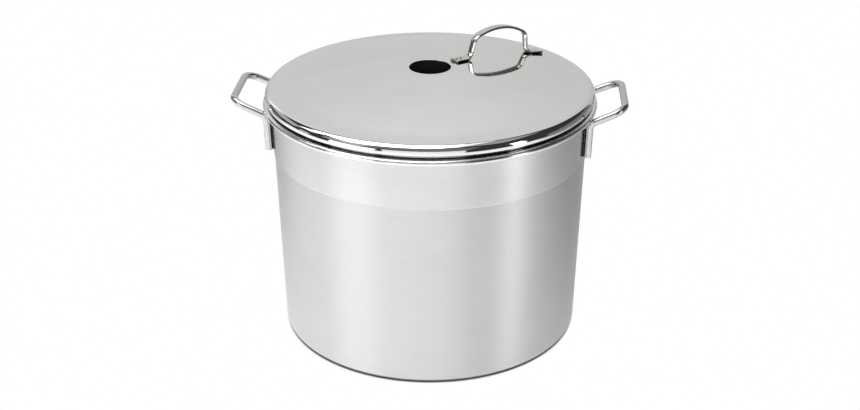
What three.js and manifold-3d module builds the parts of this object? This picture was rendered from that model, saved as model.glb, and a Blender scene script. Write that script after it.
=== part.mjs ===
// A lidded brew kettle in thin stainless steel: a drawn body with a rolled rim, two rod side
// handles welded on by short seams, and a domed lid with a round centre hole and a strap
// handle. Millimetres, +Z up. The origin is the centre of the flat base, the side handles
// lie on +X and -X, and the lid rests on the rolled rim.

import * as THREE from 'three';
import { mergeVertices } from 'three/addons/utils/BufferGeometryUtils.js';
import Module from 'manifold-3d';

const wasm = await Module();
wasm.setup();

// ---- driving dimensions -------------------------------------------------------------------

const SHEET = 0.8;                  // thickness of the kettle and lid sheet
const TURN_SEGMENTS = 64;           // facets round every turned piece
const ARC_STEP = 20;                // degrees of a section's arc covered by one facet, at most
const DOME_RINGS = 5;               // rings of facets between the lid's hole and its crease
const AIR = 0.3;                    // gap left between pieces that touch

const BASE_RADIUS = 153.6;          // outside of the wall, carried down to the floor
const WALL_DRAFT = 0.0262;          // radius gained for each millimetre of height
const BASE_CORNER = 6;              // outside radius of the bottom corner
const STEP_HEIGHT = 190.9;          // the wall steps out here, all the way round
const STEP_OUT = 0.6;
const STEP_RISE = 1.2;
const RIM_HEIGHT = 241;             // centre of the rolled rim
const RIM_HALF_WIDTH = 4.2;         // the roll's section is an ellipse
const RIM_HALF_HEIGHT = 3.3;
const RIM_ROLL_END = -125;          // where the roll's free edge stops, in degrees

const HOLE_RADIUS = 21;             // centre hole of the lid
const LID_APEX = 275;               // height of the dome at its middle
const CREASE_RADIUS = 143;          // the dome meets the border ring here
const CREASE_HEIGHT = 259.2;
const LID_RADIUS = 165.8;
const LID_EDGE_HEIGHT = 249.7;      // where the lid is widest
const LID_EDGE_ROUND = 8;           // outside radius of the edge's upper part
const LID_UNDER_ROUND = 3;          // outside radius of its lower part, which turns under
const LIP_RADIUS = 161.5;           // outer face of the turned-down lip that stands on the rim
const LIP_BOTTOM = 244.1;

const ROD_RADIUS = 3.6;             // side handles
const ROD_SIDES = 12;
const ROD_BEND_STEPS = 6;           // rings of facets in each bend of the rod
const LEG_STAND_OFF = 5.2;          // rod centre to the wall
const LEG_HALF_SPACING = 43;
const GRIP_HALF_WIDTH = 40.6;       // at the outer bar
const LEG_BOTTOM = 199;
const LEG_TOP = 234.2;              // where the leg and the side bar would cross
const GRIP_REACH = 37.3;            // length of the side bars, to the outer bar's centre
const GRIP_TILT = 23.3;             // degrees above the level
const LEG_BEND = 8;
const GRIP_CORNER = 15;
const WELD_HEIGHTS = [206.5, 221.5]; // middles of the weld seams on each leg
const WELD_LENGTH = 13;
const WELD_WIDTH = 3.6;

const STRAP_WIDTH = 8;              // lid handle, a bent flat strap with wider feet
const STRAP_FOOT_WIDTH = 12;
const STRAP_THICK = 2.8;
const STRAP_ANGLE = 42.9;           // direction of the strap, degrees from +X
const STRAP_SIDE_OFFSET = -3;       // the strap lies this far off the radial line
const STRAP_MIDDLE = 88.3;          // distance of its middle from the lid's centre
const STRAP_HALF_LENGTH = 60;
const STRAP_LEG_FOOT = 38.6;        // half distances between the two legs, foot and shoulder
const STRAP_LEG_SHOULDER = 34.6;
const STRAP_SHOULDER_RISE = 20.7;   // heights above the feet, square to the lid
const STRAP_PEAK_RISE = 33.6;       // where the two halves of the crown would cross
const STRAP_BEND = 7;               // radii of the bends, measured on the centre line
const STRAP_SHOULDER_BEND = 11;
const STRAP_CROWN_BEND = 72;
const STRAP_BEND_STEPS = 7;         // facets in each bend of the strap
const STRAP_STAND_OFF = 0.5;        // air under the feet, bridged by the weld nuggets
const NUGGET_RADIUS = 1.6;
const NUGGET_PLACES = [50.5, 56];   // from the strap's middle, on both feet

// ---- materials ----------------------------------------------------------------------------

const brushedSteel = { color: 0xc4c5c6, roughness: 0.34, metalness: 1 };
const polishedSteel = { color: 0xcfd0cf, roughness: 0.12, metalness: 1 };
const weldSteel = { color: 0x5a5752, roughness: 0.45, metalness: 1 };

// ---- small helpers ------------------------------------------------------------------------

const radians = THREE.MathUtils.degToRad;

function lowerWallRadius(z) {
  return BASE_RADIUS + WALL_DRAFT * z;
}

function upperWallRadius(z) {
  return lowerWallRadius(z) + STEP_OUT;
}

// Points on part of an ellipse, from one angle to another in degrees, both ends included.
function ellipse(centreX, centreY, radiusX, radiusY, fromDegrees, toDegrees, facets = 0) {
  const steps = facets || Math.ceil(Math.abs(toDegrees - fromDegrees) / ARC_STEP);
  const points = [];
  for (let i = 0; i <= steps; i += 1) {
    const angle = radians(fromDegrees + ((toDegrees - fromDegrees) * i) / steps);
    points.push(new THREE.Vector2(centreX + radiusX * Math.cos(angle), centreY + radiusY * Math.sin(angle)));
  }
  return points;
}

function arc(centreX, centreY, radius, fromDegrees, toDegrees, facets = 0) {
  return ellipse(centreX, centreY, radius, radius, fromDegrees, toDegrees, facets);
}

// A turned piece. The section is closed on itself, or runs from the axis back to the axis.
// It runs outwards along the underside and back inwards over the top, so its faces point out.
function turned(section, closeOnItself) {
  const points = closeOnItself ? [...section, section[0].clone()] : section;
  const geometry = new THREE.LatheGeometry(points, TURN_SEGMENTS);
  geometry.rotateX(Math.PI / 2);
  return geometry;
}

// A curve through the given corners, with each inner corner rounded to its radius.
function roundedPath(corners, radii) {
  const path = new THREE.CurvePath();
  let start = corners[0];
  for (let i = 1; i < corners.length - 1; i += 1) {
    const corner = corners[i];
    const back = corners[i - 1].clone().sub(corner).normalize();
    const onward = corners[i + 1].clone().sub(corner).normalize();
    const turn = Math.PI - back.angleTo(onward);
    const cut = radii[i - 1] * Math.tan(turn / 2);
    const pull = cut - radii[i - 1] * (4 / 3) * Math.tan(turn / 4);
    const arcStart = corner.clone().addScaledVector(back, cut);
    const arcEnd = corner.clone().addScaledVector(onward, cut);
    path.add(new THREE.LineCurve3(start, arcStart));
    path.add(new THREE.CubicBezierCurve3(
      arcStart,
      corner.clone().addScaledVector(back, pull),
      corner.clone().addScaledVector(onward, pull),
      arcEnd,
    ));
    start = arcEnd;
  }
  path.add(new THREE.LineCurve3(start, corners[corners.length - 1]));
  return path;
}

// Points along a rounded path: only the ends of straight stretches, and several in each bend.
function pathPoints(path, bendSteps) {
  const points = [path.curves[0].getPoint(0)];
  for (const curve of path.curves) {
    const steps = curve.isLineCurve3 ? 1 : bendSteps;
    for (let i = 1; i <= steps; i += 1) {
      points.push(curve.getPoint(i / steps));
    }
  }
  return points;
}

function solidOf(geometry) {
  const bare = geometry.clone();
  bare.deleteAttribute('normal');
  bare.deleteAttribute('uv');
  const merged = mergeVertices(bare, 1e-5);
  return new wasm.Manifold(new wasm.Mesh({
    numProp: 3,
    vertProperties: new Float32Array(merged.attributes.position.array),
    triVerts: new Uint32Array(merged.index.array),
  }));
}

function geometryOf(solid) {
  const mesh = solid.getMesh();
  const geometry = new THREE.BufferGeometry();
  geometry.setAttribute('position', new THREE.BufferAttribute(mesh.vertProperties, 3));
  geometry.setIndex(new THREE.BufferAttribute(mesh.triVerts, 1));
  return geometry;
}

function named(name, geometry, look) {
  const mesh = new THREE.Mesh(geometry, new THREE.MeshStandardMaterial(look));
  mesh.name = name;
  return mesh;
}

// ---- kettle body --------------------------------------------------------------------------

// One drawn sheet: flat base, rounded corner, tapered wall, outward step, rolled rim.
function kettleBody() {
  const rimRadius = upperWallRadius(RIM_HEIGHT);
  const rollCentre = rimRadius - SHEET + RIM_HALF_WIDTH;
  const cornerCentre = lowerWallRadius(BASE_CORNER) - BASE_CORNER;
  const outside = [
    new THREE.Vector2(0, 0),
    ...arc(cornerCentre, BASE_CORNER, BASE_CORNER, -90, 0),
    new THREE.Vector2(lowerWallRadius(STEP_HEIGHT), STEP_HEIGHT),
    new THREE.Vector2(upperWallRadius(STEP_HEIGHT + STEP_RISE), STEP_HEIGHT + STEP_RISE),
    new THREE.Vector2(rimRadius, RIM_HEIGHT),
  ];
  const roll = (inset, from, to) => ellipse(
    rollCentre,
    RIM_HEIGHT,
    RIM_HALF_WIDTH - inset,
    RIM_HALF_HEIGHT - inset,
    from,
    to,
  );
  const rollInside = roll(SHEET, 180, RIM_ROLL_END);
  const rollOutside = roll(0, RIM_ROLL_END, 180);
  const inside = [
    new THREE.Vector2(upperWallRadius(STEP_HEIGHT + STEP_RISE) - SHEET, STEP_HEIGHT + STEP_RISE),
    new THREE.Vector2(lowerWallRadius(STEP_HEIGHT) - SHEET, STEP_HEIGHT),
    ...arc(cornerCentre, BASE_CORNER, BASE_CORNER - SHEET, 0, -90),
    new THREE.Vector2(0, SHEET),
  ];
  const section = [...outside, ...rollInside.slice(1), ...rollOutside, ...inside];
  return named('kettle_body', turned(section, false), brushedSteel);
}

// ---- side handles -------------------------------------------------------------------------

// The rod of the handle on the +X side: up one leg, out along the side bar, across and back.
function sideHandleCorners() {
  const tilt = radians(GRIP_TILT);
  const wallDistance = (z) => {
    const reach = upperWallRadius(z) + LEG_STAND_OFF;
    return Math.sqrt(reach * reach - LEG_HALF_SPACING * LEG_HALF_SPACING);
  };
  const tip = wallDistance(LEG_TOP) + GRIP_REACH * Math.cos(tilt);
  const tipHeight = LEG_TOP + GRIP_REACH * Math.sin(tilt);
  return [
    new THREE.Vector3(wallDistance(LEG_BOTTOM), -LEG_HALF_SPACING, LEG_BOTTOM),
    new THREE.Vector3(wallDistance(LEG_TOP), -LEG_HALF_SPACING, LEG_TOP),
    new THREE.Vector3(tip, -GRIP_HALF_WIDTH, tipHeight),
    new THREE.Vector3(tip, GRIP_HALF_WIDTH, tipHeight),
    new THREE.Vector3(wallDistance(LEG_TOP), LEG_HALF_SPACING, LEG_TOP),
    new THREE.Vector3(wallDistance(LEG_BOTTOM), LEG_HALF_SPACING, LEG_BOTTOM),
  ];
}

// A round section swept along the rod's centre line, one ring at each given point.
function sweptRod(points) {
  const path = new THREE.CurvePath();
  for (let i = 1; i < points.length; i += 1) {
    path.add(new THREE.LineCurve3(points[i - 1], points[i]));
  }
  path.getSpacedPoints = () => points;
  path.getPointAt = (u) => points[Math.round(u * (points.length - 1))].clone();
  path.getTangentAt = (u) => {
    const i = Math.round(u * (points.length - 1));
    const before = points[Math.max(i - 1, 0)];
    const after = points[Math.min(i + 1, points.length - 1)];
    const inward = points[i].clone().sub(before).normalize();
    const outward = after.clone().sub(points[i]).normalize();
    return inward.add(outward).normalize();
  };
  const section = new THREE.Shape();
  section.setFromPoints(arc(0, 0, ROD_RADIUS, 0, 360 - 360 / ROD_SIDES, ROD_SIDES - 1));
  return new THREE.ExtrudeGeometry(section, { steps: points.length - 1, extrudePath: path });
}

function sideHandle(name) {
  const radii = [LEG_BEND, GRIP_CORNER, GRIP_CORNER, LEG_BEND];
  const path = roundedPath(sideHandleCorners(), radii);
  return named(name, sweptRod(pathPoints(path, ROD_BEND_STEPS)), polishedSteel);
}

// A weld seam fills most of the air between a leg and the wall, and leans as the wall does.
function weldSeam(name, sideways, height) {
  const thickness = LEG_STAND_OFF - ROD_RADIUS - 2 * AIR;
  const seam = new THREE.BoxGeometry(thickness, WELD_WIDTH, WELD_LENGTH);
  seam.rotateY(Math.atan(WALL_DRAFT));
  const mesh = named(name, seam, weldSteel);
  const middle = upperWallRadius(height) + AIR + thickness / 2;
  const legReach = upperWallRadius(height) + LEG_STAND_OFF;
  const angle = Math.asin((sideways * LEG_HALF_SPACING) / legReach);
  mesh.position.set(middle * Math.cos(angle), middle * Math.sin(angle), height);
  mesh.rotation.z = angle;
  return mesh;
}

function sideHandleGroup(side, turn) {
  const group = new THREE.Group();
  group.add(sideHandle(`${side}_handle`));
  for (const [leg, sideways] of [['front', -1], ['rear', 1]]) {
    WELD_HEIGHTS.forEach((height, i) => {
      const level = i === 0 ? 'lower' : 'upper';
      const towards = turn ? -sideways : sideways;
      group.add(weldSeam(`${side}_handle_weld_${leg}_${level}`, towards, height));
    });
  }
  group.rotation.z = turn ? Math.PI : 0;
  return group;
}

// ---- lid ----------------------------------------------------------------------------------

const DOME_DROP = LID_APEX - CREASE_HEIGHT;
const DOME_RADIUS = (CREASE_RADIUS ** 2 + DOME_DROP ** 2) / (2 * DOME_DROP);
const BORDER_RADIUS = LID_RADIUS - LID_EDGE_ROUND;
const BORDER_HEIGHT = LID_EDGE_HEIGHT + LID_EDGE_ROUND;
const BORDER_SLOPE = (CREASE_HEIGHT - BORDER_HEIGHT) / (BORDER_RADIUS - CREASE_RADIUS);

// Height of the lid's upper face at a distance from its centre.
function lidHeight(r) {
  if (r < CREASE_RADIUS) {
    return LID_APEX - DOME_RADIUS + Math.sqrt(DOME_RADIUS ** 2 - r * r);
  }
  return CREASE_HEIGHT - BORDER_SLOPE * (r - CREASE_RADIUS);
}

// One pressed sheet: centre hole, dome, border ring, and an edge that is rounded over and under
// and ends in the lip that stands on the rim.
function lidPlate() {
  const dome = [];
  for (let i = 0; i <= DOME_RINGS; i += 1) {
    const r = HOLE_RADIUS + ((CREASE_RADIUS - HOLE_RADIUS) * i) / DOME_RINGS;
    dome.push(new THREE.Vector2(r, lidHeight(r)));
  }
  const underRadius = LID_RADIUS - LID_UNDER_ROUND;
  const underside = LID_EDGE_HEIGHT - LID_UNDER_ROUND;
  const top = [
    ...dome,
    ...arc(BORDER_RADIUS, LID_EDGE_HEIGHT, LID_EDGE_ROUND, 90, 0),
    ...arc(underRadius, LID_EDGE_HEIGHT, LID_UNDER_ROUND, 0, -90).slice(1),
    new THREE.Vector2(LIP_RADIUS, underside),
    new THREE.Vector2(LIP_RADIUS, LIP_BOTTOM),
  ];
  const back = [
    new THREE.Vector2(LIP_RADIUS - SHEET, LIP_BOTTOM),
    new THREE.Vector2(LIP_RADIUS - SHEET, underside + SHEET),
    ...arc(underRadius, LID_EDGE_HEIGHT, LID_UNDER_ROUND - SHEET, -90, 0),
    ...arc(BORDER_RADIUS, LID_EDGE_HEIGHT, LID_EDGE_ROUND - SHEET, 0, 90).slice(1),
    ...dome.slice().reverse().map((p) => new THREE.Vector2(p.x, p.y - SHEET)),
  ];
  const section = [...top, ...back].reverse();
  return turned(section, true);
}

// Height of the strap's centre line above the lid where the feet lie.
const STRAP_LIFT = STRAP_STAND_OFF + STRAP_THICK / 2;

// The strap's centre line, in the upright plane through the strap: x is measured from the
// strap's middle, away from the hole, and y is the height.
function strapCorners() {
  const onLid = (x) => lidHeight(STRAP_MIDDLE + x) + STRAP_LIFT;
  const innerFoot = new THREE.Vector3(-STRAP_LEG_FOOT, onLid(-STRAP_LEG_FOOT), 0);
  const outerFoot = new THREE.Vector3(STRAP_LEG_FOOT, onLid(STRAP_LEG_FOOT), 0);
  const slope = (outerFoot.y - innerFoot.y) / (2 * STRAP_LEG_FOOT);
  const level = (x) => (innerFoot.y + outerFoot.y) / 2 + slope * x;
  const square = new THREE.Vector3(-slope, 1, 0).normalize();
  const above = (x, rise) => new THREE.Vector3(x, level(x), 0).addScaledVector(square, rise);
  return [
    new THREE.Vector3(-STRAP_HALF_LENGTH, onLid(-STRAP_HALF_LENGTH), 0),
    innerFoot,
    above(-STRAP_LEG_SHOULDER, STRAP_SHOULDER_RISE),
    above(0, STRAP_PEAK_RISE),
    above(STRAP_LEG_SHOULDER, STRAP_SHOULDER_RISE),
    outerFoot,
    new THREE.Vector3(STRAP_HALF_LENGTH, onLid(STRAP_HALF_LENGTH), 0),
  ];
}

// The outline of the bent strap: its centre line set off by half the thickness on each side.
function strapOutline() {
  const radii = [STRAP_BEND, STRAP_SHOULDER_BEND, STRAP_CROWN_BEND, STRAP_SHOULDER_BEND, STRAP_BEND];
  const points = pathPoints(roundedPath(strapCorners(), radii), STRAP_BEND_STEPS);
  const left = [];
  const right = [];
  points.forEach((point, i) => {
    const before = points[Math.max(i - 1, 0)];
    const after = points[Math.min(i + 1, points.length - 1)];
    const along = after.clone().sub(before).normalize();
    const half = STRAP_THICK / 2;
    left.push(new THREE.Vector2(point.x - along.y * half, point.y + along.x * half));
    right.push(new THREE.Vector2(point.x + along.y * half, point.y - along.x * half));
  });
  return [...left, ...right.reverse()];
}

// Nuggets of the spot welds, standing in clearance holes through the strap's feet.
function nuggetAt(x, extraRadius, fromTop, below) {
  const top = lidHeight(STRAP_MIDDLE + x) + STRAP_STAND_OFF + STRAP_THICK + fromTop;
  const bottom = lidHeight(STRAP_MIDDLE + x) + below;
  const radius = NUGGET_RADIUS + extraRadius;
  const pin = new THREE.CylinderGeometry(radius, radius, top - bottom, ROD_SIDES);
  pin.translate(x, (top + bottom) / 2, 0);
  return pin;
}

function nuggetPlaces() {
  return [
    ['inner_1', -NUGGET_PLACES[1]],
    ['inner_2', -NUGGET_PLACES[0]],
    ['outer_1', NUGGET_PLACES[0]],
    ['outer_2', NUGGET_PLACES[1]],
  ];
}

// A block beside the strap that trims it from the foot width to the width of the legs and crown.
function trimBlock(side) {
  const length = 2 * (STRAP_LEG_FOOT + STRAP_BEND);
  const height = 3 * STRAP_PEAK_RISE;
  const block = new THREE.BoxGeometry(length, height, STRAP_FOOT_WIDTH);
  block.translate(0, lidHeight(STRAP_MIDDLE), (side * (STRAP_WIDTH + STRAP_FOOT_WIDTH)) / 2);
  return block;
}

function strap() {
  const shape = new THREE.Shape(strapOutline());
  const blank = new THREE.ExtrudeGeometry(shape, { depth: STRAP_FOOT_WIDTH, bevelEnabled: false });
  blank.translate(0, 0, -STRAP_FOOT_WIDTH / 2);
  let solid = solidOf(blank);
  for (const side of [-1, 1]) {
    solid = solid.subtract(solidOf(trimBlock(side)));
  }
  for (const [, x] of nuggetPlaces()) {
    solid = solid.subtract(solidOf(nuggetAt(x, AIR, STRAP_THICK, -STRAP_THICK)));
  }
  return geometryOf(solid);
}

// The strap and its nuggets, stood upright on the lid and turned to the strap's direction.
function lidHandleGroup() {
  const upright = new THREE.Group();
  upright.add(named('lid_handle', strap(), polishedSteel));
  for (const [place, x] of nuggetPlaces()) {
    upright.add(named(`lid_handle_weld_${place}`, nuggetAt(x, 0, -AIR, AIR), weldSteel));
  }
  upright.rotation.x = Math.PI / 2;
  upright.position.set(STRAP_MIDDLE, STRAP_SIDE_OFFSET, 0);
  const group = new THREE.Group();
  group.add(upright);
  group.rotation.z = radians(STRAP_ANGLE);
  return group;
}

// ---- assembly -----------------------------------------------------------------------------

const kettle = new THREE.Group();
kettle.add(kettleBody());
kettle.add(sideHandleGroup('right', false));
kettle.add(sideHandleGroup('left', true));
kettle.add(named('lid_plate', lidPlate(), polishedSteel));
kettle.add(lidHandleGroup());

export default kettle;
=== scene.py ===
"""A lidded stainless steel brew kettle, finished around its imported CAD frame.

Every turned sheet, bent rod, strap and weld is rebuilt as a fine mesh in the place of its CAD
node and given a procedural steel finish. The kettle stands on a pale floor in a soft studio.
Metres throughout, in the frame's own axes: +Z up, side handles on +X and -X.
"""

import math

import bmesh
import bpy
from mathutils import Matrix, Vector, noise


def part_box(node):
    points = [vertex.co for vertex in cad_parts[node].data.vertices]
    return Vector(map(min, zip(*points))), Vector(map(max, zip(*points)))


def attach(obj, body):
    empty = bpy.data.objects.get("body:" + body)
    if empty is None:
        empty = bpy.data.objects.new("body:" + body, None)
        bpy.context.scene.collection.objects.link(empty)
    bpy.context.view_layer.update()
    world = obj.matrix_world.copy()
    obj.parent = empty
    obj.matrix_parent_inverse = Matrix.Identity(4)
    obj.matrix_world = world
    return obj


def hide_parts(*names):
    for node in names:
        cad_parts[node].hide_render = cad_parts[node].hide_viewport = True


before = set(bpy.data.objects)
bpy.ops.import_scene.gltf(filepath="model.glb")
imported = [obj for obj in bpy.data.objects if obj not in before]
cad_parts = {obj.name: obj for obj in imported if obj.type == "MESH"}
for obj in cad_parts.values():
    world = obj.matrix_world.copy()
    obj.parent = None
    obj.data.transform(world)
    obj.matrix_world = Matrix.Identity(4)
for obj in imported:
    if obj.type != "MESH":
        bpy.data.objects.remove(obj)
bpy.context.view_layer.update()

MM = 0.001

# ---- driving dimensions, as in the CAD part ---------------------------------------------------

SHEET = 0.8 * MM
BASE_RADIUS = 153.6 * MM
WALL_DRAFT = 0.0262  # the wall's lean: outward for each unit of height
BASE_CORNER = 6 * MM
STEP_HEIGHT = 190.9 * MM
STEP_OUT = 0.6 * MM
STEP_RISE = 1.2 * MM
RIM_HEIGHT = 241 * MM
RIM_HALF_WIDTH = 4.2 * MM
RIM_HALF_HEIGHT = 3.3 * MM
RIM_ROLL_END = -125  # degrees round the roll, where the sheet's edge tucks under

CREASE_RADIUS = 143 * MM
CREASE_HEIGHT = 259.2 * MM
CREASE_BLEND = 5 * MM
LID_APEX = 275 * MM
HOLE_RADIUS = 21 * MM
LID_EDGE_HEIGHT = 249.7 * MM
LID_EDGE_ROUND = 8 * MM
LID_UNDER_ROUND = 3 * MM
LIP_RADIUS = 161.5 * MM

ROD_RADIUS = 3.6 * MM
LEG_STAND_OFF = 5.2 * MM
LEG_HALF_SPACING = 43 * MM
LEG_TOP = 234.2 * MM
LEG_BEND = 8 * MM
GRIP_CORNER = 15 * MM
GRIP_HALF_WIDTH = 40.6 * MM
WELD_LENGTH = 14.8 * MM
WELD_WIDTH = 3.6 * MM

STRAP_WIDTH = 8 * MM
STRAP_FOOT_WIDTH = 12 * MM
STRAP_THICK = 2.8 * MM
STRAP_ANGLE = math.radians(42.9)
STRAP_SIDE_OFFSET = -3 * MM
STRAP_MIDDLE = 88.3 * MM
STRAP_HALF_LENGTH = 60 * MM
STRAP_LEG_FOOT = 38.6 * MM
STRAP_LEG_SHOULDER = 34.6 * MM
STRAP_SHOULDER_RISE = 20.7 * MM
STRAP_PEAK_RISE = 33.6 * MM
STRAP_FOOT_BEND = 7 * MM
STRAP_SHOULDER_BEND = 11 * MM
STRAP_PEAK_BEND = 72 * MM
STRAP_STAND_OFF = 0.5 * MM
STRAP_FOOT_THICK = 1.9 * MM
NUGGETS = {"inner_1": -56 * MM, "inner_2": -50.5 * MM, "outer_1": 50.5 * MM, "outer_2": 56 * MM}
NUGGET_RADIUS = 1.6 * MM

# ---- places taken from the frame --------------------------------------------------------------

_, BODY_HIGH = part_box("kettle_body")
LID_LOW, LID_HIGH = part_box("lid_plate")
HANDLE_LOW, HANDLE_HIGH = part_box("right_handle")

LID_RADIUS = LID_HIGH.y
BORDER_RADIUS = LID_RADIUS - LID_EDGE_ROUND
BORDER_HEIGHT = LID_EDGE_HEIGHT + LID_EDGE_ROUND
BORDER_SLOPE = (CREASE_HEIGHT - BORDER_HEIGHT) / (BORDER_RADIUS - CREASE_RADIUS)
DOME_DROP = LID_APEX - CREASE_HEIGHT
DOME_RADIUS = (CREASE_RADIUS ** 2 + DOME_DROP ** 2) / (2 * DOME_DROP)


def lower_wall(z):
    """Outside radius at a height below the step."""
    return BASE_RADIUS + WALL_DRAFT * z


def upper_wall(z):
    """Outside radius at a height above the step."""
    return lower_wall(z) + STEP_OUT


def lid_height(r):
    """Height of the lid's upper face at a distance from its centre, without the crease's blend."""
    if r < CREASE_RADIUS:
        return LID_APEX - DOME_RADIUS + math.sqrt(DOME_RADIUS ** 2 - r * r)
    return CREASE_HEIGHT - BORDER_SLOPE * (r - CREASE_RADIUS)


# ---- camera -----------------------------------------------------------------------------------

CAMERA_DISTANCE = 1.3309
CAMERA_HEIGHT = 0.7542
CAMERA_TURN = math.radians(3.65)
CAMERA_PITCH = math.radians(25.43)
CAMERA_LENS = 58.87  # millimetres, on a 36 mm sensor


def around(azimuth, distance, height):
    """A place round the kettle. The azimuth is in degrees from the camera's side, + to the right."""
    angle = math.radians(azimuth) + CAMERA_TURN
    return Vector((distance * math.sin(angle), -distance * math.cos(angle), height))


def make_camera():
    """The photograph's viewpoint, which looks down on the lid."""
    data = bpy.data.cameras.new("camera")
    data.lens = CAMERA_LENS
    data.sensor_width = 36
    camera = bpy.data.objects.new("camera", data)
    camera.location = around(0, CAMERA_DISTANCE, CAMERA_HEIGHT)
    camera.rotation_euler = (math.pi / 2 - CAMERA_PITCH, 0, CAMERA_TURN)
    bpy.context.scene.collection.objects.link(camera)
    bpy.context.scene.camera = camera


# ---- mesh helpers -----------------------------------------------------------------------------

TURN_SEGMENTS = 192
SHARP_ANGLE = math.radians(40)
ON_AXIS = 1e-7


def eased(share):
    """A share from 0 to 1 that leaves 0 and reaches 1 gently."""
    return share * share * (3 - 2 * share)


def round_angles(count):
    """Evenly spaced angles for one full turn."""
    return [2 * math.pi * i / count for i in range(count)]


def ellipse(centre, width, height, start, end, step=6):
    """Points (r, z) on part of an ellipse with these half axes, between two angles in degrees."""
    count = max(2, math.ceil(abs(end - start) / step))
    angles = [math.radians(start + (end - start) * i / count) for i in range(count + 1)]
    return [(centre[0] + width * math.cos(a), centre[1] + height * math.sin(a)) for a in angles]


def arc(centre, radius, start, end, step=6):
    return ellipse(centre, radius, radius, start, end, step)


def line(start, end, count):
    """Points along a straight line, with neither end."""
    return [
        (start[0] + (end[0] - start[0]) * i / count, start[1] + (end[1] - start[1]) * i / count)
        for i in range(1, count)
    ]


def finished(name, vertices, faces, material):
    """A smooth-shaded object with its faces pointing out and its sharp edges kept."""
    mesh = bpy.data.meshes.new(name)
    shell = bmesh.new()
    points = [shell.verts.new(v) for v in vertices]
    for face in faces:
        shell.faces.new([points[i] for i in face])
    bmesh.ops.recalc_face_normals(shell, faces=shell.faces)
    shell.to_mesh(mesh)
    shell.free()
    mesh.shade_smooth()
    mesh.set_sharp_from_angle(angle=SHARP_ANGLE)
    mesh.materials.append(material)
    piece = bpy.data.objects.new(name, mesh)
    bpy.context.scene.collection.objects.link(piece)
    return piece


def turned(name, section, closed, material):
    """A piece turned about Z from a section of (r, z) points, closed on itself or on the axis."""
    vertices = []
    rings = []
    for r, z in section:
        if r < ON_AXIS:
            rings.append([len(vertices)] * TURN_SEGMENTS)
            vertices.append((0, 0, z))
            continue
        rings.append(list(range(len(vertices), len(vertices) + TURN_SEGMENTS)))
        for angle in round_angles(TURN_SEGMENTS):
            vertices.append((r * math.cos(angle), r * math.sin(angle), z))
    pairs = list(zip(rings, rings[1:]))
    if closed:
        pairs.append((rings[-1], rings[0]))
    faces = []
    for low, high in pairs:
        for i in range(TURN_SEGMENTS):
            j = (i + 1) % TURN_SEGMENTS
            corners = dict.fromkeys([low[i], low[j], high[j], high[i]])
            faces.append(list(corners))
    return finished(name, vertices, faces, material)


def skinned(name, rings, material):
    """A closed piece through a row of rings of points, with a flat cap on each end."""
    size = len(rings[0])
    vertices = [point for ring in rings for point in ring]
    faces = [list(range(size)), list(range(len(vertices) - size, len(vertices)))]
    for k in range(len(rings) - 1):
        for i in range(size):
            j = (i + 1) % size
            faces.append([k * size + i, k * size + j, (k + 1) * size + j, (k + 1) * size + i])
    return finished(name, vertices, faces, material)


def rounded_path(corners, radii, step=5):
    """Points along a bent line whose inner corners are rounded, with a point every step degrees."""
    points = [corners[0]]
    for corner, before, after, radius in zip(corners[1:], corners, corners[2:], radii):
        back = (before - corner).normalized()
        onward = (after - corner).normalized()
        turn = math.pi - back.angle(onward)
        cut = radius * math.tan(turn / 2)
        bisector = (back + onward).normalized()
        centre = corner + bisector * (radius / math.cos(turn / 2))
        first = corner + back * cut - centre
        axis = back.cross(onward).normalized()
        count = max(3, math.ceil(math.degrees(turn) / step))
        for i in range(count + 1):
            points.append(centre + Matrix.Rotation(-turn * i / count, 3, axis) @ first)
    points.append(corners[-1])
    return points


def with_rows(points, spacing):
    """The same line with extra points, no further apart than the spacing."""
    result = [points[0]]
    for start, end in zip(points, points[1:]):
        count = max(1, math.ceil((end - start).length / spacing))
        result += [start.lerp(end, i / count) for i in range(1, count + 1)]
    return result


def heading(points, i):
    """The way that a line of points runs at one of them."""
    ahead = points[min(i + 1, len(points) - 1)] - points[max(i - 1, 0)]
    return ahead.normalized()


# ---- material helpers -------------------------------------------------------------------------

# Painted shade: the near-black colour that crevices are darkened towards.
CREVICE_SHADE_COLOUR = (0.02, 0.019, 0.018)
CREVICE_REACH = 5 * MM
CREVICE_DEEP = 0.22
CREVICE_OPEN = 0.5


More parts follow.
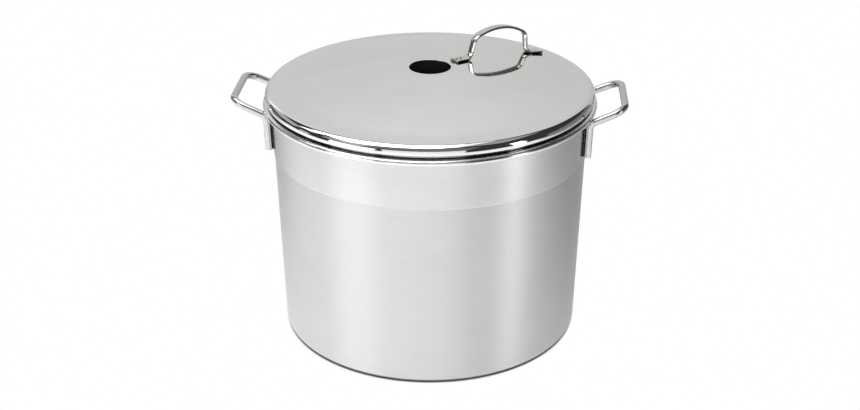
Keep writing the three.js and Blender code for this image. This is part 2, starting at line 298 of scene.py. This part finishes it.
class Finish:
    """A material built from nodes: bare metal, unless its shader is replaced.

    Its coordinates are the object's own, in metres. Noise lies mostly between 0.3 and 0.7, so
    that range, or a part of it, is what gets spread.
    """

    def __init__(self, name, anisotropy=0.0):
        self.material = bpy.data.materials.new(name)
        self.material.use_nodes = True
        self.nodes = self.material.node_tree.nodes
        self.links = self.material.node_tree.links
        self.nodes.clear()
        self.output = self.nodes.new("ShaderNodeOutputMaterial")
        self.shader = self.nodes.new("ShaderNodeBsdfPrincipled")
        self.links.new(self.shader.outputs["BSDF"], self.output.inputs["Surface"])
        self.shader.inputs["Metallic"].default_value = 1
        if anisotropy:
            self.shader.inputs["Anisotropic"].default_value = anisotropy
            self.shader.inputs["Anisotropic Rotation"].default_value = 0.25
            tangent = self.nodes.new("ShaderNodeTangent")
            tangent.direction_type = "RADIAL"
            tangent.axis = "Z"
            self.links.new(tangent.outputs[0], self.shader.inputs["Tangent"])
        self.place = self.nodes.new("ShaderNodeTexCoord").outputs["Object"]

    def feed(self, socket, value):
        """Links the value to the socket, or sets it there if it is a plain number or colour."""
        if isinstance(value, bpy.types.NodeSocket):
            self.links.new(value, socket)
        else:
            socket.default_value = value

    def noise(self, scale, detail=3.0, roughness=0.5, place=None):
        """Noise from 0 to 1. The scale is a number, or one number for each axis."""
        scales = scale if isinstance(scale, tuple) else (scale, scale, scale)
        mapping = self.nodes.new("ShaderNodeMapping")
        mapping.inputs["Scale"].default_value = scales
        self.links.new(place or self.place, mapping.inputs["Vector"])
        texture = self.nodes.new("ShaderNodeTexNoise")
        texture.inputs["Scale"].default_value = 1
        texture.inputs["Detail"].default_value = detail
        texture.inputs["Roughness"].default_value = roughness
        self.links.new(mapping.outputs[0], texture.inputs["Vector"])
        return texture.outputs["Fac"]

    def math(self, operation, a, b=0.0):
        node = self.nodes.new("ShaderNodeMath")
        node.operation = operation
        self.feed(node.inputs[0], a)
        self.feed(node.inputs[1], b)
        return node.outputs[0]

    def spread(self, value, low, high, from_low=0.0, from_high=1.0):
        """The value carried from one range to another, held at both ends."""
        node = self.nodes.new("ShaderNodeMapRange")
        self.feed(node.inputs["Value"], value)
        node.inputs["From Min"].default_value = from_low
        node.inputs["From Max"].default_value = from_high
        node.inputs["To Min"].default_value = low
        node.inputs["To Max"].default_value = high
        return node.outputs[0]

    def mix(self, factor, a, b):
        """From colour a to colour b. Sockets 6 and 7 and output 2 are the node's colour ones."""
        node = self.nodes.new("ShaderNodeMix")
        node.data_type = "RGBA"
        self.feed(node.inputs[0], factor)
        self.feed(node.inputs[6], a if isinstance(a, bpy.types.NodeSocket) else (*a, 1))
        self.feed(node.inputs[7], b if isinstance(b, bpy.types.NodeSocket) else (*b, 1))
        return node.outputs[2]

    def axis(self, name):
        node = self.nodes.new("ShaderNodeSeparateXYZ")
        self.links.new(self.place, node.inputs[0])
        return node.outputs[name]

    def radius(self):
        """Distance from the kettle's axis."""
        square = self.math("ADD", self.math("POWER", self.axis("X"), 2.0),
                           self.math("POWER", self.axis("Y"), 2.0))
        return self.math("SQRT", square)

    def facing(self, direction):
        """How squarely the face looks in a direction, from -1 to 1."""
        node = self.nodes.new("ShaderNodeVectorMath")
        node.operation = "DOT_PRODUCT"
        self.links.new(self.nodes.new("ShaderNodeNewGeometry").outputs["Normal"], node.inputs[0])
        node.inputs[1].default_value = direction
        return node.outputs["Value"]

    def crevice(self):
        """1 in a crevice narrower than about the reach, 0 in the open: where shade is painted."""
        node = self.nodes.new("ShaderNodeAmbientOcclusion")
        node.inputs["Distance"].default_value = CREVICE_REACH
        node.samples = 8
        return self.spread(node.outputs["AO"], 1, 0, CREVICE_DEEP, CREVICE_OPEN)

    def bump(self, height, distance, below=None):
        """A relief of up to the distance, on top of the one below if there is one."""
        node = self.nodes.new("ShaderNodeBump")
        node.inputs["Strength"].default_value = 1
        node.inputs["Distance"].default_value = distance
        self.links.new(height, node.inputs["Height"])
        if below:
            self.links.new(below, node.inputs["Normal"])
        return node.outputs[0]

    def surface(self, colour, roughness, normal):
        """Joins the finish up, with shade painted dark into the crevices."""
        # Painted shade: crevices found by ambient occlusion are darkened towards a near-black colour.
        colour = self.mix(self.crevice(), colour, CREVICE_SHADE_COLOUR)
        self.links.new(colour, self.shader.inputs["Base Color"])
        self.links.new(roughness, self.shader.inputs["Roughness"])
        self.links.new(normal, self.shader.inputs["Normal"])
        return self.material


# ---- steel finishes ---------------------------------------------------------------------------

# Pairs are the darker and the lighter colour that a finish wanders between.
SATIN_COLOURS = (0.755, 0.755, 0.765), (0.80, 0.80, 0.805)
STREAK_COLOUR = (0.70, 0.70, 0.715)
# Painted shade for the sheet's inner face, inside the kettle.
INSIDE_SHADE_COLOUR = (0.42, 0.42, 0.42)
MIRROR_COLOURS = (0.755, 0.755, 0.745), (0.785, 0.785, 0.775)
WIRE_COLOURS = (0.53, 0.53, 0.52), (0.61, 0.61, 0.60)
STRAP_COLOURS = (0.57, 0.57, 0.54), (0.65, 0.65, 0.62)
# Painted shade for the strap's underside and sheared edges.
STRAP_SHADE_COLOUR = (0.13, 0.125, 0.115)
WELD_COLOURS = (0.03, 0.027, 0.024), (0.14, 0.13, 0.12)

LOWER_WALL_ROUGHNESS = 0.50
UPPER_WALL_ROUGHNESS = 0.44
ROLL_POLISH = 0.22


def kettle_steel():
    """Satin sheet brushed round the wall: smoother above the step, polished roll, and shade painted
    darker on the inside.
    """
    finish = Finish("kettle_steel", anisotropy=0.85)
    streaks = finish.noise((30, 30, 900), detail=5, roughness=0.6)
    hairlines = finish.noise((60, 60, 3200), detail=2)
    clouds = finish.noise(13, detail=4)
    height = finish.axis("Z")
    band = finish.spread(height, 0, 1, STEP_HEIGHT, STEP_HEIGHT + STEP_RISE)
    colour = finish.mix(finish.spread(clouds, 0, 1, 0.35, 0.65), *SATIN_COLOURS)
    colour = finish.mix(finish.spread(streaks, 0, 0.22, 0.4, 0.7), colour, STREAK_COLOUR)
    drafted = finish.math("ADD", finish.math("MULTIPLY", height, WALL_DRAFT),
                          finish.math("MULTIPLY", band, STEP_OUT))
    from_skin = finish.math("SUBTRACT", finish.radius(), drafted)
    # The radius without its lean and step tells the sheet's inner face from its outer one.
    inside = finish.spread(from_skin, 1, 0, BASE_RADIUS - 0.5 * MM, BASE_RADIUS - 0.3 * MM)
    # Painted shade: the sheet's inner face, inside the kettle, is darkened.
    colour = finish.mix(inside, colour, INSIDE_SHADE_COLOUR)
    satin = finish.spread(band, LOWER_WALL_ROUGHNESS, UPPER_WALL_ROUGHNESS)
    grain = finish.spread(streaks, -0.02, 0.03, 0.3, 0.7)
    patches = finish.spread(clouds, -0.03, 0.03, 0.3, 0.7)
    roll_bottom = RIM_HEIGHT - RIM_HALF_HEIGHT
    roll = finish.spread(height, 0, 1, roll_bottom, RIM_HEIGHT - RIM_HALF_HEIGHT / 2)
    brushed = finish.math("ADD", finish.math("ADD", satin, grain), patches)
    roughness = finish.math("ADD", brushed, finish.math("MULTIPLY", roll, -ROLL_POLISH))
    normal = finish.bump(finish.noise(7, detail=1), 0.5 * MM)
    normal = finish.bump(streaks, 0.02 * MM, normal)
    normal = finish.bump(hairlines, 0.008 * MM, normal)
    return finish.surface(colour, roughness, normal)


def lid_steel():
    """Mirror-polished sheet with faint polishing rings and handling haze."""
    finish = Finish("lid_steel")
    haze = finish.noise(18, detail=5)
    rings = finish.nodes.new("ShaderNodeCombineXYZ")
    finish.links.new(finish.radius(), rings.inputs["X"])
    polish = finish.noise((900, 1, 1), detail=3, place=rings.outputs[0])
    scuffs = finish.noise((60, 420, 60), detail=5, roughness=0.7)
    colour = finish.mix(finish.spread(haze, 0, 1, 0.35, 0.65), *MIRROR_COLOURS)
    roughness = finish.math("ADD", finish.spread(haze, 0.05, 0.08, 0.35, 0.65),
                            finish.spread(scuffs, 0, 0.03, 0.55, 0.75))
    normal = finish.bump(finish.noise(9, detail=1), 0.25 * MM)
    normal = finish.bump(polish, 0.0012 * MM, normal)
    return finish.surface(colour, roughness, normal)


def rod_steel():
    """Drawn wire, bright polished, with fine die lines and a light haze."""
    finish = Finish("rod_steel")
    lines = finish.noise((700, 40, 700), detail=3)
    haze = finish.noise(60, detail=4)
    colour = finish.mix(haze, *WIRE_COLOURS)
    roughness = finish.math("ADD", finish.spread(haze, 0.15, 0.21, 0.3, 0.7),
                            finish.spread(lines, 0, 0.05, 0.5, 0.8))
    normal = finish.bump(lines, 0.003 * MM)
    return finish.surface(colour, roughness, normal)


def strap_steel():
    """Strap with polished, finely scratched faces, and shade painted dark on its sheared edges and
    underneath.
    """
    finish = Finish("strap_steel")
    scratches = finish.noise((500, 500, 60), detail=4, roughness=0.65)
    haze = finish.noise(70, detail=3)
    colour = finish.mix(haze, *STRAP_COLOURS)
    # Painted shade: faces turned down, and the sheared edges, are darkened.
    underside = finish.spread(finish.facing((0, 0, -1)), 0, 1, 0.35, 0.75)
    across = (math.sin(STRAP_ANGLE), -math.cos(STRAP_ANGLE), 0)
    edges = finish.spread(finish.math("ABSOLUTE", finish.facing(across)), 0, 1, 0.7, 0.9)
    painted_shade = finish.math("MAXIMUM", underside, edges)
    colour = finish.mix(painted_shade, colour, STRAP_SHADE_COLOUR)
    roughness = finish.math("ADD", finish.spread(haze, 0.10, 0.18, 0.3, 0.7),
                            finish.spread(scratches, 0, 0.06, 0.5, 0.75))
    normal = finish.bump(scratches, 0.01 * MM)
    return finish.surface(colour, roughness, normal)


def weld_steel():
    """Fused metal left as welded: dull, grainy and dark with heat tint."""
    finish = Finish("weld_steel")
    grains = finish.noise(1400, detail=4, roughness=0.6)
    tint = finish.noise(320, detail=3)
    colour = finish.mix(finish.spread(tint, 0, 1, 0.3, 0.7), *WELD_COLOURS)
    roughness = finish.spread(grains, 0.30, 0.55, 0.3, 0.7)
    normal = finish.bump(grains, 0.10 * MM)
    return finish.surface(colour, roughness, normal)


STEEL = {
    "kettle_steel": kettle_steel(),
    "lid_steel": lid_steel(),
    "rod_steel": rod_steel(),
    "strap_steel": strap_steel(),
    "weld_steel": weld_steel(),
}


def installed(piece, node, body):
    """Puts a finished piece in the place of its CAD node."""
    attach(piece, body)
    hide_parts(node)


# ---- kettle body ------------------------------------------------------------------------------

STEP_EASE = 0.6 * MM
STEP_ROWS = 8
BASE_ROWS = 6
LOWER_WALL_ROWS = 12
UPPER_WALL_ROWS = 4


def kettle_body():
    """Drawn sheet: flat base, rounded corner, drafted wall, eased step and rolled rim."""
    corner = (lower_wall(BASE_CORNER) - BASE_CORNER, BASE_CORNER)
    rim_radius = upper_wall(RIM_HEIGHT)
    roll_centre = (BODY_HIGH.y - RIM_HALF_WIDTH, RIM_HEIGHT)
    step_top = STEP_HEIGHT + STEP_RISE
    wall = [(lower_wall(STEP_HEIGHT - STEP_EASE), STEP_HEIGHT - STEP_EASE)]
    for i in range(STEP_ROWS + 1):
        share = i / STEP_ROWS
        z = STEP_HEIGHT + STEP_RISE * share
        wall.append((lower_wall(z) + STEP_OUT * eased(share), z))
    wall.append((upper_wall(step_top + STEP_EASE), step_top + STEP_EASE))
    outside = [(0, 0)] + line((0, 0), (corner[0], 0), BASE_ROWS)
    outside += arc(corner, BASE_CORNER, -90, 0)
    outside += line(outside[-1], wall[0], LOWER_WALL_ROWS) + wall
    outside += line(wall[-1], (rim_radius, RIM_HEIGHT), UPPER_WALL_ROWS)
    outside.append((rim_radius, RIM_HEIGHT))
    inner_width = RIM_HALF_WIDTH - SHEET
    inner_height = RIM_HALF_HEIGHT - SHEET
    roll_inside = ellipse(roll_centre, inner_width, inner_height, 180, RIM_ROLL_END, 10)
    roll_outside = ellipse(roll_centre, RIM_HALF_WIDTH, RIM_HALF_HEIGHT, RIM_ROLL_END, 180)
    inner_wall = [(r - SHEET, z) for r, z in reversed(wall)]
    inside = inner_wall + arc(corner, BASE_CORNER - SHEET, 0, -90) + [(0, SHEET)]
    section = outside + roll_inside[1:] + roll_outside + inside
    piece = turned("kettle_shell", section, False, STEEL["kettle_steel"])
    installed(piece, "kettle_body", "kettle")


# ---- side handles -----------------------------------------------------------------------------

ROD_SIDES = 28
ROD_ROW_SPACING = 12 * MM
ROD_END_EASE = 0.7 * MM
ROD_END_SHARES = {0: 0.8, 0.3: 0.94, 1: 1}  # how far into the ease: how much of the radius
SEAM_ROWS = 40
SEAM_SIDES = 20
SEAM_RIPPLE = 0.22
SEAM_OVERLAP = 1.02
SEAM_FULLNESS = 0.5


def leg_distance(z):
    """How far out a leg's centre line is along X at a height, beside the sloping wall."""
    reach = upper_wall(z) + LEG_STAND_OFF
    return math.sqrt(reach ** 2 - LEG_HALF_SPACING ** 2)


def rod_corners():
    """Centre line of the +X handle: up one leg, out along the side bar, across and back down."""
    bar = HANDLE_HIGH.x - ROD_RADIUS
    bar_height = HANDLE_HIGH.z - ROD_RADIUS
    half = GRIP_HALF_WIDTH
    ends = [
        (leg_distance(HANDLE_LOW.z), LEG_HALF_SPACING, HANDLE_LOW.z),
        (leg_distance(LEG_TOP), LEG_HALF_SPACING, LEG_TOP),
        (bar, half, bar_height),
    ]
    front = [Vector((x, -y, z)) for x, y, z in ends]
    rear = [Vector(end) for end in reversed(ends)]
    return front + rear


def side_handle(side, turn):
    """A round rod bent to shape, with softened ends, turned about Z to its own side."""
    points = rounded_path(rod_corners(), [LEG_BEND, GRIP_CORNER, GRIP_CORNER, LEG_BEND])
    points = with_rows(points, ROD_ROW_SPACING)
    first = (points[1] - points[0]).normalized()
    last = (points[-2] - points[-1]).normalized()
    opening = [points[0] + first * ROD_END_EASE * s for s in ROD_END_SHARES]
    closing = [points[-1] + last * ROD_END_EASE * s for s in reversed(ROD_END_SHARES)]
    points = opening + points[1:-1] + closing
    radii = [ROD_RADIUS] * len(points)
    for i, share in enumerate(ROD_END_SHARES.values()):
        radii[i] = radii[-1 - i] = ROD_RADIUS * share
    rings = []
    across = Vector((0, 1, 0))
    for i, point in enumerate(points):
        along = heading(points, i)
        across = (across - along * across.dot(along)).normalized()
        other = along.cross(across)
        ring = []
        for angle in round_angles(ROD_SIDES):
            ring.append(point + (across * math.cos(angle) + other * math.sin(angle)) * radii[i])
        rings.append(ring)
    piece = skinned(f"{side}_handle_rod", rings, STEEL["rod_steel"])
    piece.data.transform(Matrix.Rotation(turn, 4, "Z"))
    installed(piece, f"{side}_handle", "kettle")


def weld_seam(side, leg, level):
    """A fused bead along the crevice between a leg and the wall, uneven along both its edges.

    It is a little deeper than the crevice, fuller than round in section, and narrows at both
    ends. The ripple differs along a seam, between its two edges and between the two handles.
    """
    node = f"{side}_handle_weld_{leg}_{level}"
    low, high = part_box(node)
    middle = (low + high) / 2
    outward = Vector((middle.x, middle.y, 0)).normalized()
    sideways = Vector((0, 0, 1)).cross(outward)
    reach = LEG_STAND_OFF - ROD_RADIUS
    rings = []
    for i in range(SEAM_ROWS + 1):
        share = 2 * i / SEAM_ROWS - 1
        z = middle.z + share * WELD_LENGTH / 2
        start = upper_wall(z)
        taper = math.sqrt(max(0.02, 1 - abs(share) ** 8))
        ring = []
        for angle in round_angles(SEAM_SIDES):
            side_way = math.cos(angle)
            ripple = noise.noise(Vector((700 * z, 3 * round(side_way), 40 * middle.x)))
            half = WELD_WIDTH / 2 * taper * (1 + SEAM_RIPPLE * ripple)
            fullness = SEAM_OVERLAP + SEAM_FULLNESS * side_way * side_way
            depth = reach / 2 * (1 + math.sin(angle) * fullness)
            ring.append(outward * (start + depth) + sideways * (half * side_way) + Vector((0, 0, z)))
        rings.append(ring)
    piece = skinned(f"{side}_seam_{leg}_{level}", rings, STEEL["weld_steel"])
    installed(piece, node, "kettle")


# ---- lid --------------------------------------------------------------------------------------

HOLE_EASE = 0.25 * MM
DOME_ROWS = 30
CREASE_ROWS = 10


def lid_top():
    """The upper face from the hole to the border: dome, blended crease, border ring."""
    first = HOLE_RADIUS + HOLE_EASE
    points = []
    for i in range(DOME_ROWS + 1):
        r = first + (CREASE_RADIUS - CREASE_BLEND - first) * i / DOME_ROWS
        points.append((r, lid_height(r)))
    start = Vector(points[-1])
    end = Vector((CREASE_RADIUS + CREASE_BLEND, lid_height(CREASE_RADIUS + CREASE_BLEND)))
    middle = Vector((CREASE_RADIUS, CREASE_HEIGHT))
    for i in range(1, CREASE_ROWS + 1):
        t = i / CREASE_ROWS
        blend = start * (1 - t) ** 2 + middle * 2 * t * (1 - t) + end * t * t
        points.append(tuple(blend))
    return points


def lid_plate():
    """Pressed sheet: eased hole, dome, crease, border ring, an edge rounded over and under, lip."""
    top = lid_top()
    edge = (BORDER_RADIUS, LID_EDGE_HEIGHT)
    under = (LID_RADIUS - LID_UNDER_ROUND, LID_EDGE_HEIGHT)
    underside = LID_EDGE_HEIGHT - LID_UNDER_ROUND
    lip_bottom = LID_LOW.z
    hole = (top[0][0], top[0][1] - HOLE_EASE)
    outer = arc(hole, HOLE_EASE, 180, 90, 30)[:-1] + top
    outer += arc(edge, LID_EDGE_ROUND, 90, 0, 5) + arc(under, LID_UNDER_ROUND, 0, -90)[1:]
    outer += [(LIP_RADIUS, underside), (LIP_RADIUS, lip_bottom)]
    inner = [(LIP_RADIUS - SHEET, lip_bottom), (LIP_RADIUS - SHEET, underside + SHEET)]
    inner += arc(under, LID_UNDER_ROUND - SHEET, -90, 0, 10)
    inner += arc(edge, LID_EDGE_ROUND - SHEET, 0, 90, 8)[1:]
    inner += [(r, z - SHEET) for r, z in reversed(top)]
    piece = turned("lid_sheet", outer + inner, True, STEEL["lid_steel"])
    installed(piece, "lid_plate", "lid")


# ---- lid handle -------------------------------------------------------------------------------

STRAP_LIFT = STRAP_STAND_OFF + STRAP_THICK / 2
STRAP_ROW_SPACING = 0.6 * MM
STRAP_CORNER = 0.24  # this and the crowns are shares of half the strap's thickness
FACE_CROWN = 0.12
LEG_CROWN = 0.72
FACE_POINTS = 20
FOOT_CORNER = 1.6 * MM
FOOT_TAPER = 7 * MM
DIMPLE_DEPTH = 0.9 * MM
DIMPLE_RADIUS = 2.4 * MM
NUGGET_SIDES = 24


def to_lid(x, y, z):
    """From the strap's own plane to the frame: x along the strap, y across it, z up."""
    turn = Matrix.Rotation(STRAP_ANGLE, 3, "Z")
    return turn @ Vector((STRAP_MIDDLE + x, STRAP_SIDE_OFFSET + y, z))


def strap_corners():
    """Corners of the strap's centre line, foot to foot, before its bends are rounded."""
    def on_lid(x):
        return lid_height(STRAP_MIDDLE + x) + STRAP_LIFT

    inner = on_lid(-STRAP_LEG_FOOT)
    outer = on_lid(STRAP_LEG_FOOT)
    slope = (outer - inner) / (2 * STRAP_LEG_FOOT)
    square = Vector((-slope, 0, 1)).normalized()

    def above(x, rise):
        return Vector((x, 0, (inner + outer) / 2 + slope * x)) + square * rise

    return [
        Vector((-STRAP_HALF_LENGTH, 0, on_lid(-STRAP_HALF_LENGTH))),
        Vector((-STRAP_LEG_FOOT, 0, inner)),
        above(-STRAP_LEG_SHOULDER, STRAP_SHOULDER_RISE),
        above(0, STRAP_PEAK_RISE),
        above(STRAP_LEG_SHOULDER, STRAP_SHOULDER_RISE),
        Vector((STRAP_LEG_FOOT, 0, outer)),
        Vector((STRAP_HALF_LENGTH, 0, on_lid(STRAP_HALF_LENGTH))),
    ]


def strap_section(half_width, half_thick, crown):
    """Section of the strap (across, upward): flat sides, small round corners, crowned faces."""
    corner = STRAP_CORNER * half_thick
    side = half_thick * (1 - crown) - corner
    flat = half_width - corner
    face = []
    for i in range(1, FACE_POINTS):
        share = 1 - 2 * i / FACE_POINTS
        face.append((flat * share, half_thick * (1 - crown * share * share)))
    right = arc((flat, side), corner, 0, 90, 22)
    left = [(-across, up) for across, up in reversed(right)]
    upper = right + face + left
    return upper + [(-across, -up) for across, up in upper]


def lid_handle():
    """The bent strap: its feet are flattened wider and thinner, and dish down at each spot weld."""
    bends = [STRAP_FOOT_BEND, STRAP_SHOULDER_BEND, STRAP_PEAK_BEND, STRAP_SHOULDER_BEND, STRAP_FOOT_BEND]
    points = with_rows(rounded_path(strap_corners(), bends, 4), STRAP_ROW_SPACING)
    rings = []
    for i, point in enumerate(points):
        along = heading(points, i)
        upward = Vector((-along.z, 0, along.x))
        beyond = abs(point.x) - STRAP_LEG_FOOT - STRAP_FOOT_BEND
        share = min(1, max(0, beyond / FOOT_TAPER + 1))
        on_foot = point.z < lid_height(STRAP_MIDDLE + point.x) + 3 * STRAP_LIFT
        widen = eased(share) if on_foot else 0
        half_width = (STRAP_WIDTH + (STRAP_FOOT_WIDTH - STRAP_WIDTH) * widen) / 2
        half_thick = (STRAP_THICK + (STRAP_FOOT_THICK - STRAP_THICK) * widen) / 2
        point = point - upward * (STRAP_THICK / 2 - half_thick)
        from_end = max(0, STRAP_HALF_LENGTH - abs(point.x))
        if from_end < FOOT_CORNER:
            half_width -= FOOT_CORNER - math.sqrt(FOOT_CORNER ** 2 - (FOOT_CORNER - from_end) ** 2)
        crown = FACE_CROWN + (LEG_CROWN - FACE_CROWN) * along.z ** 2
        ring = []
        for across, up in strap_section(half_width, half_thick, crown):
            dish = 0
            if up > 0 and on_foot:
                for nugget in NUGGETS.values():
                    away = math.hypot(point.x - nugget, across) / DIMPLE_RADIUS
                    dish = max(dish, DIMPLE_DEPTH * math.exp(-away ** 4))
            place = point + upward * (up - dish)
            ring.append(to_lid(place.x, across, place.z))
        rings.append(ring)
    piece = skinned("lid_strap", rings, STEEL["strap_steel"])
    installed(piece, "lid_handle", "lid")


def weld_nugget(place, x):
    """A spot weld: a small button in the foot's dimple, on a stem that reaches the lid.

    Its outline pairs a share of the nugget's radius with a height.
    """
    foot = lid_height(STRAP_MIDDLE + x)
    top = foot + STRAP_STAND_OFF + STRAP_FOOT_THICK - DIMPLE_DEPTH
    stem = [(1.05, foot - 0.05 * MM), (0.9, foot + 0.3 * MM), (0.9, top - 0.3 * MM)]
    button = [(0.86, top + 0.02 * MM), (0.7, top + 0.14 * MM), (0.5, top + 0.17 * MM)]
    dip = (0.2, top + 0.05 * MM)
    rings = []
    for share, z in [*stem, *button, dip]:
        radius = NUGGET_RADIUS * share
        ring = []
        for angle in round_angles(NUGGET_SIDES):
            ring.append(to_lid(x + radius * math.cos(angle), radius * math.sin(angle), z))
        rings.append(ring)
    piece = skinned(f"lid_spot_{place}", rings, STEEL["weld_steel"])
    installed(piece, f"lid_handle_weld_{place}", "lid")


# ---- studio -----------------------------------------------------------------------------------

KETTLE_MIDDLE = Vector((0, 0, 0.2))
OVERHEAD_HEIGHT = 1.55

# For each panel: its name and place, its width and height, and the radiance a mirror would show.
SIDE_PANELS = [
    ("key", around(-51, 1.9, 0.47), 1.1, 0.74, 1.4),
    ("front", around(-4, 2.2, 0.6), 2.2, 1.1, 0.78),
    ("fill", around(58, 1.6, 0.5), 0.26, 0.9, 2.5),
    ("right_glow", around(108, 1.9, 0.4), 1.9, 0.7, 0.12),
    ("left_stripe", around(-88, 1.9, 0.42), 0.3, 0.36, 0.5),
    ("left_glow", around(-128, 1.9, 0.4), 1.0, 0.7, 0.06),
    ("left_upper", around(-120, 1.8, 0.95), 1.4, 0.6, 0.36),
    ("left_high", around(-99, 1.75, 1.6), 0.5, 0.5, 1.8),
]
OVERHEAD_PANELS = [
    ("overhead", around(-80, 0.53, OVERHEAD_HEIGHT), 1.43, 1.18, 2.4),
    ("overhead_edge", Vector((0.29, 0, OVERHEAD_HEIGHT)), 0.17, 1.2, 1.0),
    ("overhead_right", Vector((0.68, 0.05, OVERHEAD_HEIGHT)), 0.6, 1.0, 0.26),
]
HIGH_PANELS = [
    ("front_upper", around(-18, 1.5, 1.75), 3.4, 1.2, 0.12),
    ("key_upper", around(-62, 1.5, 1.3), 0.9, 0.8, 0.3),
]

BACKDROP_HALF_ANGLE = 45
BACKDROP_EDGE_DISTANCE = 2.69
BACKDROP_HEIGHT = 3.4
FLOOR_HALF = 6
FLOOR_DROP = 0.2 * MM

# Each of these four goes from its first strength to its second between two places in metres.
BACKDROP_GLOW = 0.66, 0.88, 0.3, 2.6
BACKDROP_FADE = 1, 0.12, 2.7, 3.2
BACKDROP_DIMMER = 1, 0.8, 0, 1.9
FLOOR_GLOW = 0.05, 0.71, -0.3, 0.12
FLOOR_LEFT_SHARE = 0.25
CONTACT_REACH = 6 * MM
PAPER_COLOUR = (0.7, 0.7, 0.7, 1)
WHITE = (1, 1, 1, 1)
DIM_AIR = 0.04


def softbox(name, place, target, width, height, radiance):
    """A rectangular area light facing a point. The radiance is what a mirror would show."""
    data = bpy.data.lights.new(name, "AREA")
    data.shape = "RECTANGLE"
    data.size = width
    data.size_y = height
    data.energy = 4 * width * height * radiance
    light = bpy.data.objects.new(name, data)
    light.location = place
    light.rotation_euler = (target - place).to_track_quat("-Z", "Y").to_euler()
    light.visible_camera = False
    bpy.context.scene.collection.objects.link(light)


def studio_lights():
    """Panels round the kettle, then panels that face straight down on it, then high ones."""
    for name, place, *panel in SIDE_PANELS:
        softbox(name, place, KETTLE_MIDDLE, *panel)
    for name, place, *panel in OVERHEAD_PANELS:
        softbox(name, place, Vector((place.x, place.y, 0)), *panel)
    for name, place, *panel in HIGH_PANELS:
        softbox(name, place, KETTLE_MIDDLE, *panel)


def sheet_on_stage(name, corners, material):
    """One flat sheet that belongs to the studio and not to the kettle."""
    mesh = bpy.data.meshes.new(name)
    mesh.from_pydata(corners, [], [(0, 1, 2, 3)])
    mesh.materials.append(material)
    card = bpy.data.objects.new(name, mesh)
    bpy.context.scene.collection.objects.link(card)
    return card


def studio_backdrop():
    """A glowing card behind the kettle that the lid reflects.

    It brightens with height, is a little dimmer on the right and fades at the top.
    """
    finish = Finish("studio_backdrop")
    height = finish.axis("Z")
    glow = finish.spread(height, *BACKDROP_GLOW)
    fade = finish.spread(height, *BACKDROP_FADE)
    dimmer = finish.spread(finish.axis("X"), *BACKDROP_DIMMER)
    glow = finish.math("MULTIPLY", glow, dimmer)
    emission = finish.nodes.new("ShaderNodeEmission")
    finish.links.new(finish.math("MULTIPLY", glow, fade), emission.inputs["Strength"])
    finish.links.new(emission.outputs[0], finish.output.inputs["Surface"])
    finish.nodes.remove(finish.shader)
    left = around(180 + BACKDROP_HALF_ANGLE, BACKDROP_EDGE_DISTANCE, 0)
    right = around(180 - BACKDROP_HALF_ANGLE, BACKDROP_EDGE_DISTANCE, 0)
    top = Vector((0, 0, BACKDROP_HEIGHT))
    card = sheet_on_stage("studio_backdrop", [left, right, right + top, left + top], finish.material)
    card.visible_camera = False
    card.visible_shadow = False


def studio_floor():
    """A pale glowing table, white to the camera, with a thin shadow where the kettle meets it.

    In reflections it is brighter towards the camera's side and the left.
    """
    finish = Finish("studio_floor")
    nodes = finish.nodes
    links = finish.links
    shade = nodes.new("ShaderNodeAmbientOcclusion")
    shade.inputs["Distance"].default_value = CONTACT_REACH
    contact = finish.spread(shade.outputs["AO"], 0.05, 1, 0.3, 0.55)
    forward = finish.math("MULTIPLY", finish.axis("Y"), -1.0)
    leftward = finish.math("MULTIPLY", finish.axis("X"), -FLOOR_LEFT_SHARE)
    front = finish.spread(finish.math("ADD", forward, leftward), *FLOOR_GLOW)
    seen = nodes.new("ShaderNodeEmission")
    links.new(contact, seen.inputs["Strength"])
    glow = nodes.new("ShaderNodeEmission")
    links.new(finish.math("MULTIPLY", front, contact), glow.inputs["Strength"])
    paper = nodes.new("ShaderNodeBsdfDiffuse")
    paper.inputs["Color"].default_value = PAPER_COLOUR
    lit = nodes.new("ShaderNodeAddShader")
    links.new(glow.outputs[0], lit.inputs[0])
    links.new(paper.outputs[0], lit.inputs[1])
    choice = nodes.new("ShaderNodeMixShader")
    path = nodes.new("ShaderNodeLightPath")
    links.new(path.outputs["Is Camera Ray"], choice.inputs[0])
    links.new(lit.outputs[0], choice.inputs[1])
    links.new(seen.outputs[0], choice.inputs[2])
    links.new(choice.outputs[0], finish.output.inputs["Surface"])
    nodes.remove(finish.shader)
    signs = ((-1, -1), (1, -1), (1, 1), (-1, 1))
    corners = [(x * FLOOR_HALF, y * FLOOR_HALF, -FLOOR_DROP) for x, y in signs]
    sheet_on_stage("studio_floor", corners, finish.material)


def studio_air():
    """The world: white behind the object, dim grey as its own light."""
    world = bpy.data.worlds.new("studio_air")
    world.use_nodes = True
    nodes = world.node_tree.nodes
    links = world.node_tree.links
    nodes.clear()
    output = nodes.new("ShaderNodeOutputWorld")
    dim = nodes.new("ShaderNodeBackground")
    dim.inputs["Color"].default_value = WHITE
    dim.inputs["Strength"].default_value = DIM_AIR
    bright = nodes.new("ShaderNodeBackground")
    bright.inputs["Color"].default_value = WHITE
    choice = nodes.new("ShaderNodeMixShader")
    path = nodes.new("ShaderNodeLightPath")
    links.new(path.outputs["Is Camera Ray"], choice.inputs[0])
    links.new(dim.outputs[0], choice.inputs[1])
    links.new(bright.outputs[0], choice.inputs[2])
    links.new(choice.outputs[0], output.inputs["Surface"])
    bpy.context.scene.world = world
    bpy.context.scene.view_settings.view_transform = "Standard"


# ---- the scene --------------------------------------------------------------------------------

make_camera()
studio_floor()
studio_air()
studio_lights()
studio_backdrop()

kettle_body()
for handle_side, handle_turn in (("right", 0), ("left", math.pi)):
    side_handle(handle_side, handle_turn)
    for weld_leg in ("front", "rear"):
        for weld_level in ("lower", "upper"):
            weld_seam(handle_side, weld_leg, weld_level)
lid_plate()
lid_handle()
for spot, spot_x in NUGGETS.items():
    weld_nugget(spot, spot_x)
